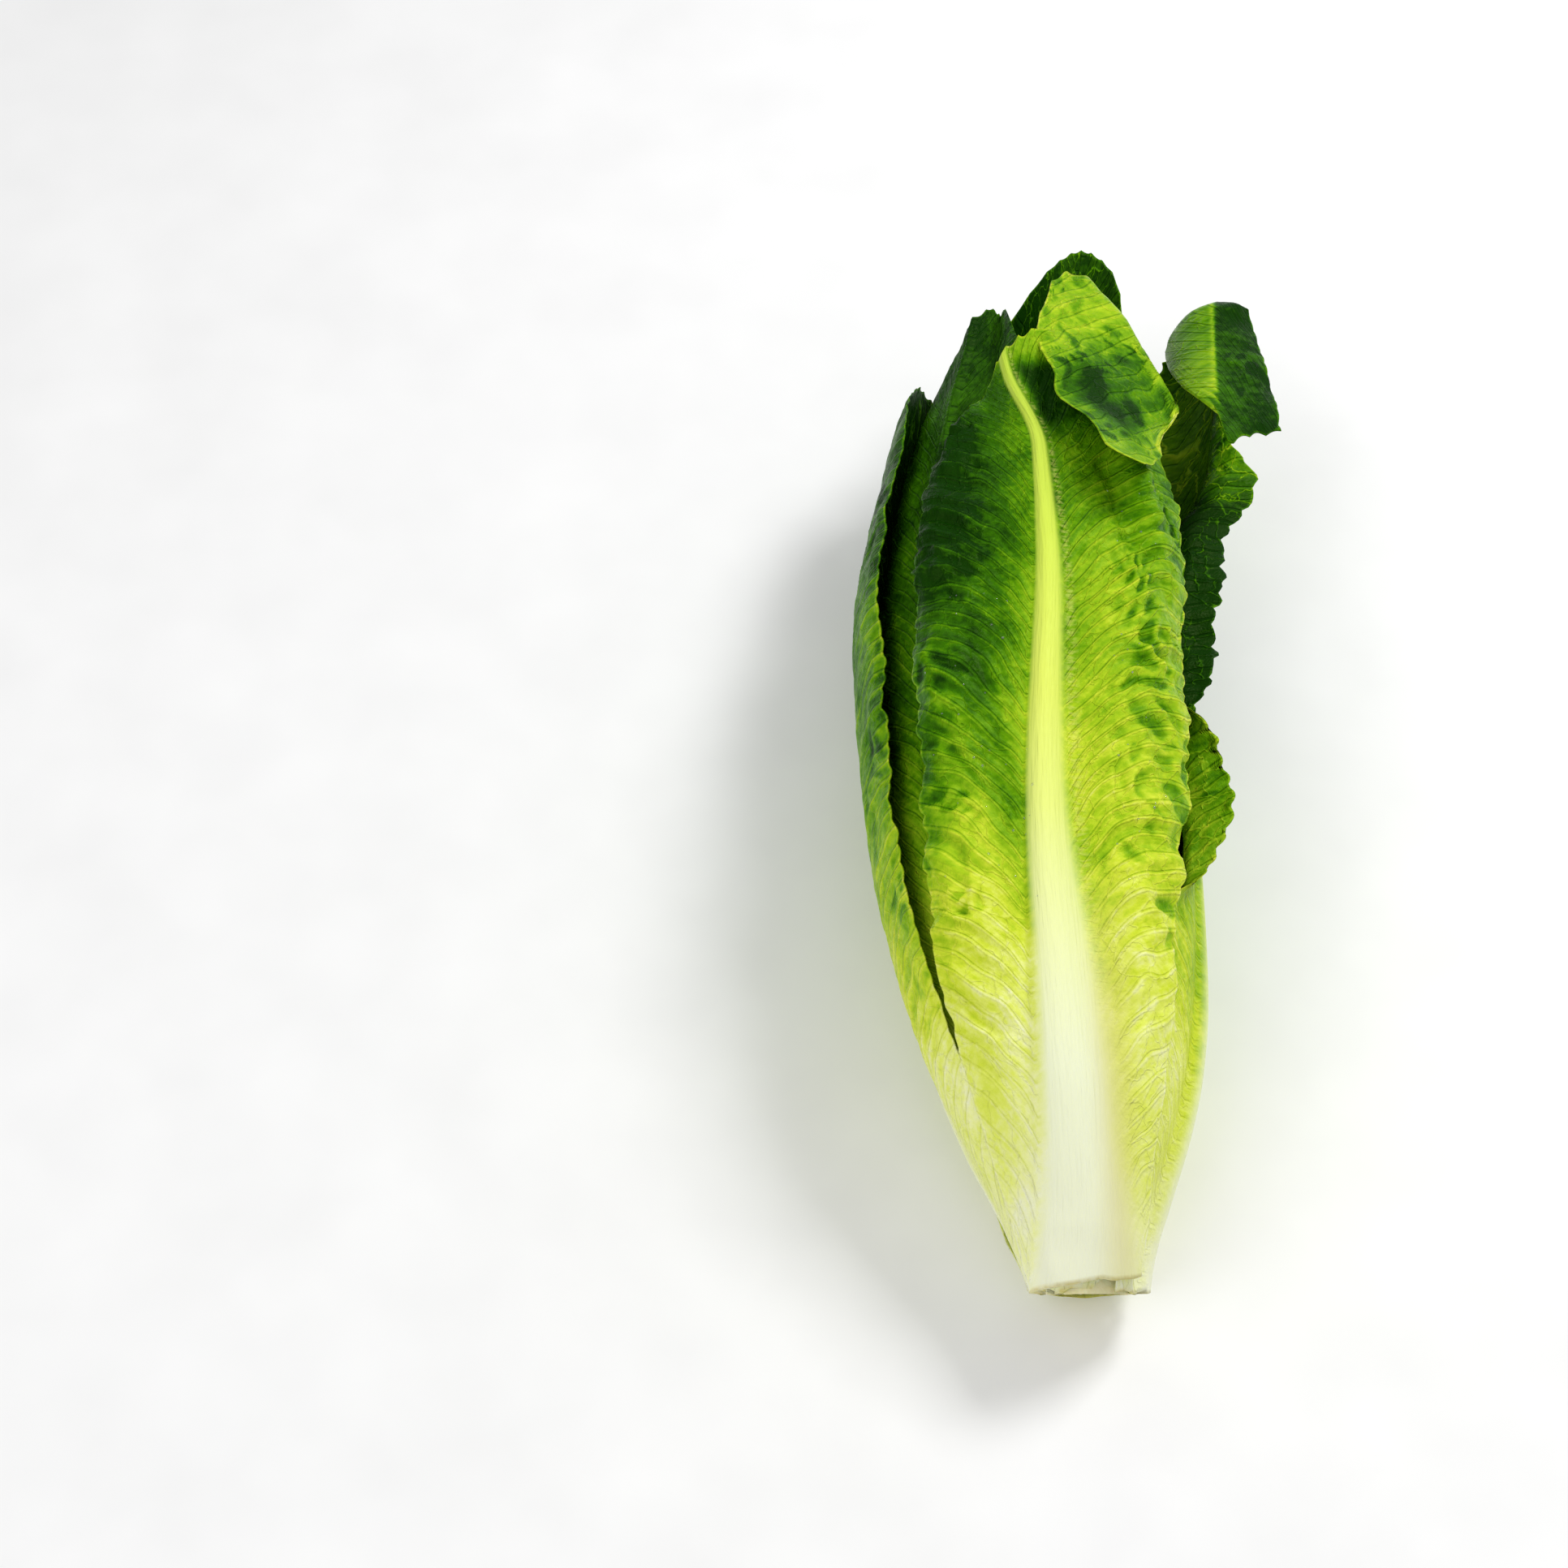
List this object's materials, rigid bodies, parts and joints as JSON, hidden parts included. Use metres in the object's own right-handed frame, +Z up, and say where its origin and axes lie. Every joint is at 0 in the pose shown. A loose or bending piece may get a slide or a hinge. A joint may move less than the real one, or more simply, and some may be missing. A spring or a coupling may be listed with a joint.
{
  "type": "romaine heart",
  "caption": "Whole romaine lettuce heart lying on its side: a cut white stem wrapped in nested leaves with raised pale midribs, tips loose and partly folded over.",
  "frame": {"origin": "middle of the underside of the whole heart's box, on the surface it lies on", "axes": "+Z up, +Y along the heart from its cut butt to its leaf tips, +X to the right seen from the butt"},
  "size_m": [0.1074, 0.3072, 0.0879],
  "materials": {
    "stem": "cut, moist",
    "inner_leaf": "moist, slightly glossy",
    "outer_leaf": "wet, glossy, veined and blistered"
  },
  "bodies": {
    "root": {"stem": "stem", "inner_leaf_01": "inner_leaf", "inner_leaf_02": "inner_leaf", "inner_leaf_03": "inner_leaf", "inner_leaf_04": "inner_leaf", "inner_leaf_05": "inner_leaf", "inner_leaf_06": "inner_leaf", "inner_leaf_07": "inner_leaf", "inner_leaf_08": "inner_leaf", "inner_leaf_09": "inner_leaf", "inner_leaf_10": "inner_leaf", "inner_leaf_11": "inner_leaf", "inner_leaf_12": "inner_leaf", "open_leaf": "outer_leaf", "left_leaf": "outer_leaf", "right_leaf": "outer_leaf", "lower_left_leaf": "outer_leaf", "bottom_leaf": "outer_leaf", "top_leaf": "outer_leaf"}
  },
  "joints": []
}
